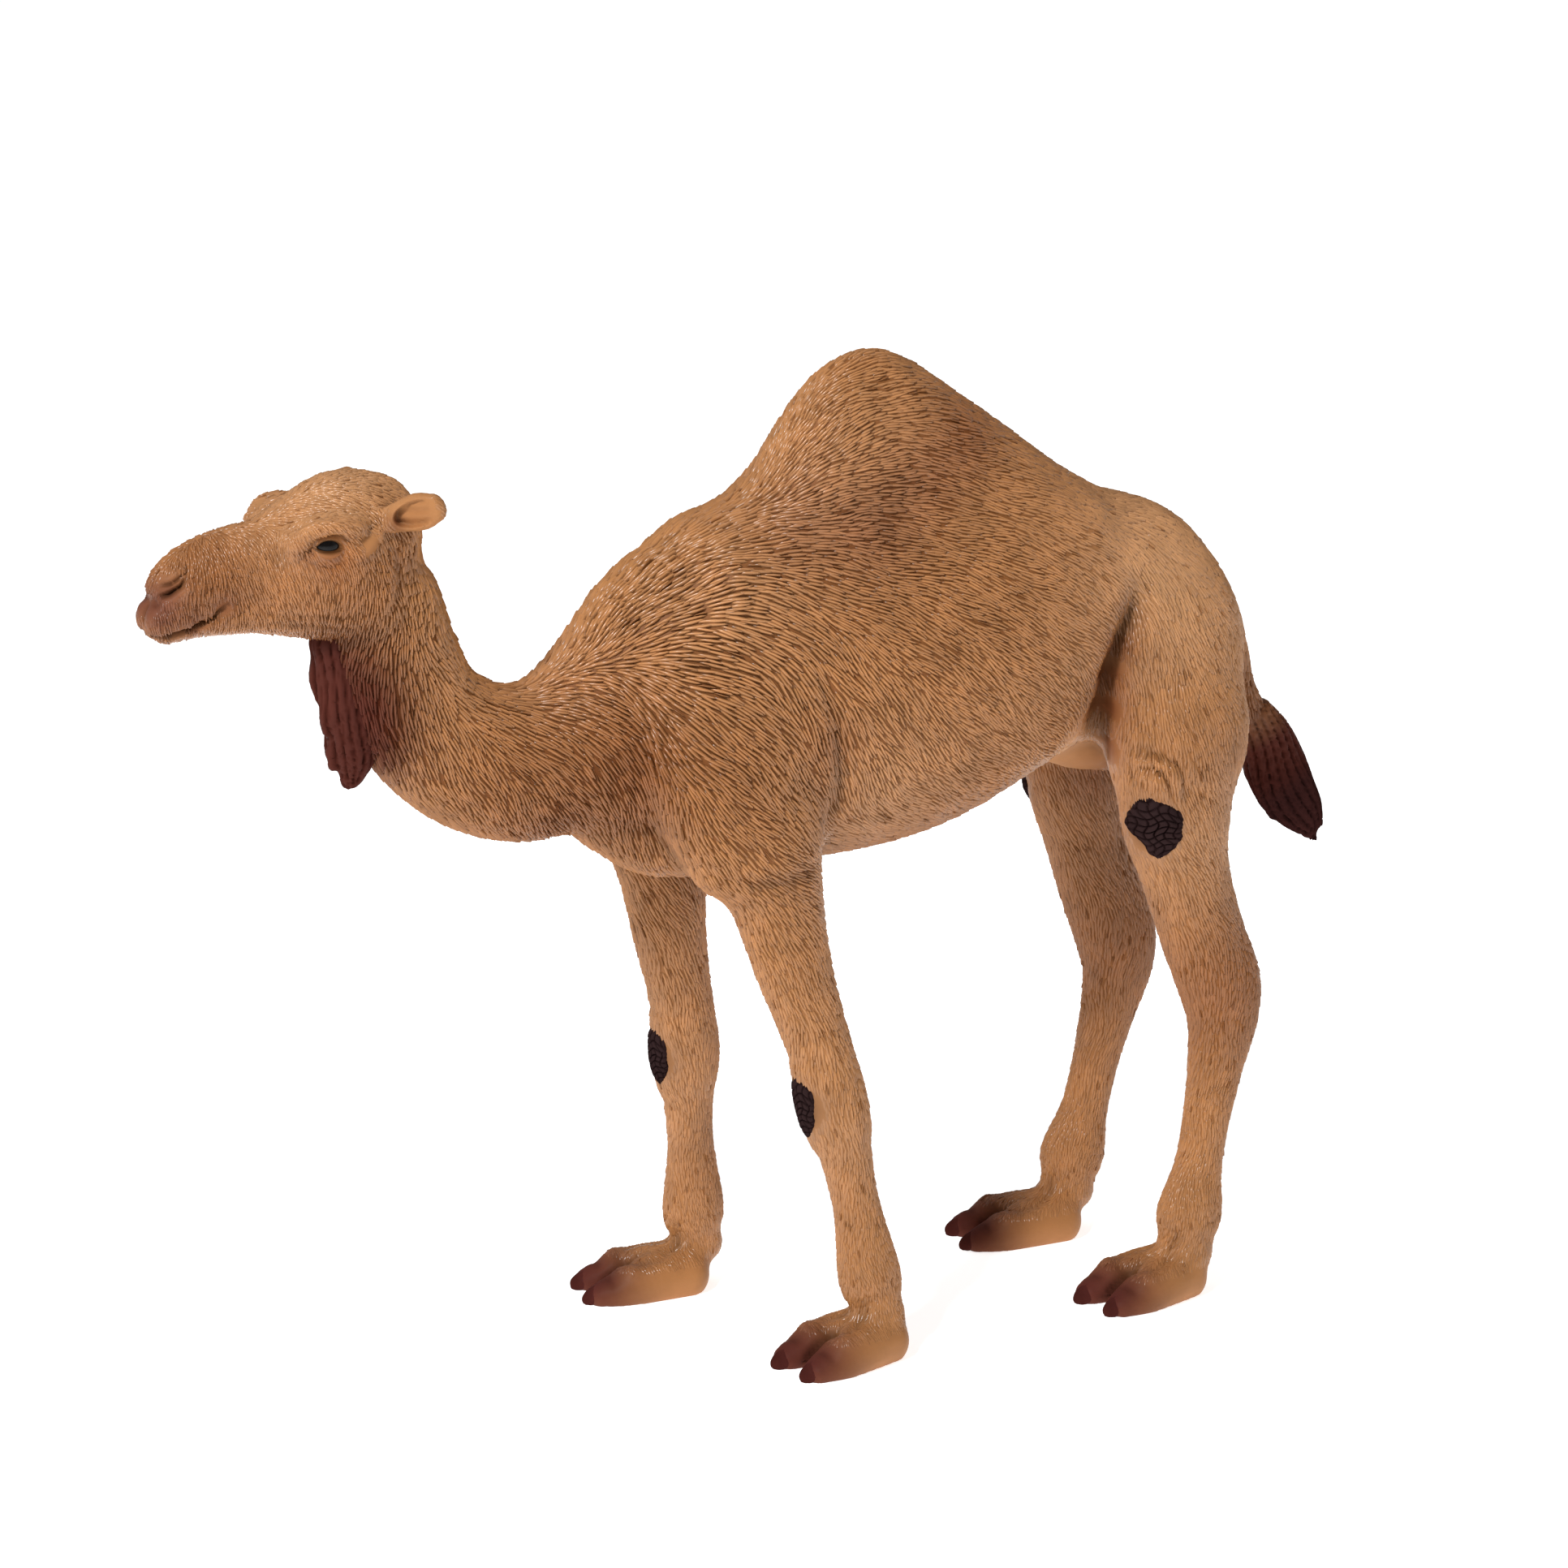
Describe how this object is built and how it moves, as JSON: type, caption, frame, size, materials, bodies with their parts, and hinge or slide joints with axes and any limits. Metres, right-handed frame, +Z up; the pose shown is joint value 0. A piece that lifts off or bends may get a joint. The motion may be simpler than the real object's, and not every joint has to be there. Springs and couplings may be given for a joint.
{
  "type": "toy dromedary camel figure",
  "caption": "Moulded and painted toy of a standing dromedary, one humped, with a dark throat mane, callus pads and a tufted tail.",
  "frame": {"origin": "on the ground, under the middle of the whole figure's box", "axes": "+Z up, the head faces -X, the left side is -Y, the lengthwise middle plane is y = 0"},
  "size_m": [0.1377, 0.0404, 0.1044],
  "materials": {
    "coat": "moulded soft plastic with engraved fur strokes, hand painted tan with pale and reddish airbrushing, soft sheen",
    "dark_hair": "engraved locks painted dark maroon brown, soft sheen",
    "callus": "cross cut skin painted near black, satin",
    "nail": "smooth, painted dark maroon brown, glossy",
    "eye": "smooth black gloss"
  },
  "bodies": {
    "root": {"eye_left": "eye", "ear_left": "coat", "eye_right": "eye", "ear_right": "coat", "head": "coat", "neck": "coat", "trunk": "coat", "leg_front_left": "coat", "knee_pad_left": "callus", "leg_front_right": "coat", "knee_pad_right": "callus", "leg_hind_left": "coat", "stifle_pad_left": "callus", "leg_hind_right": "coat", "stifle_pad_right": "callus", "nail_front_left_inner": "nail", "nail_front_left_outer": "nail", "foot_front_left": "coat", "nail_front_right_inner": "nail", "nail_front_right_outer": "nail", "foot_front_right": "coat", "nail_hind_left_inner": "nail", "nail_hind_left_outer": "nail", "foot_hind_left": "coat", "nail_hind_right_inner": "nail", "nail_hind_right_outer": "nail", "foot_hind_right": "coat", "throat_mane": "dark_hair", "tail": "coat", "tail_tuft": "dark_hair"}
  },
  "joints": []
}
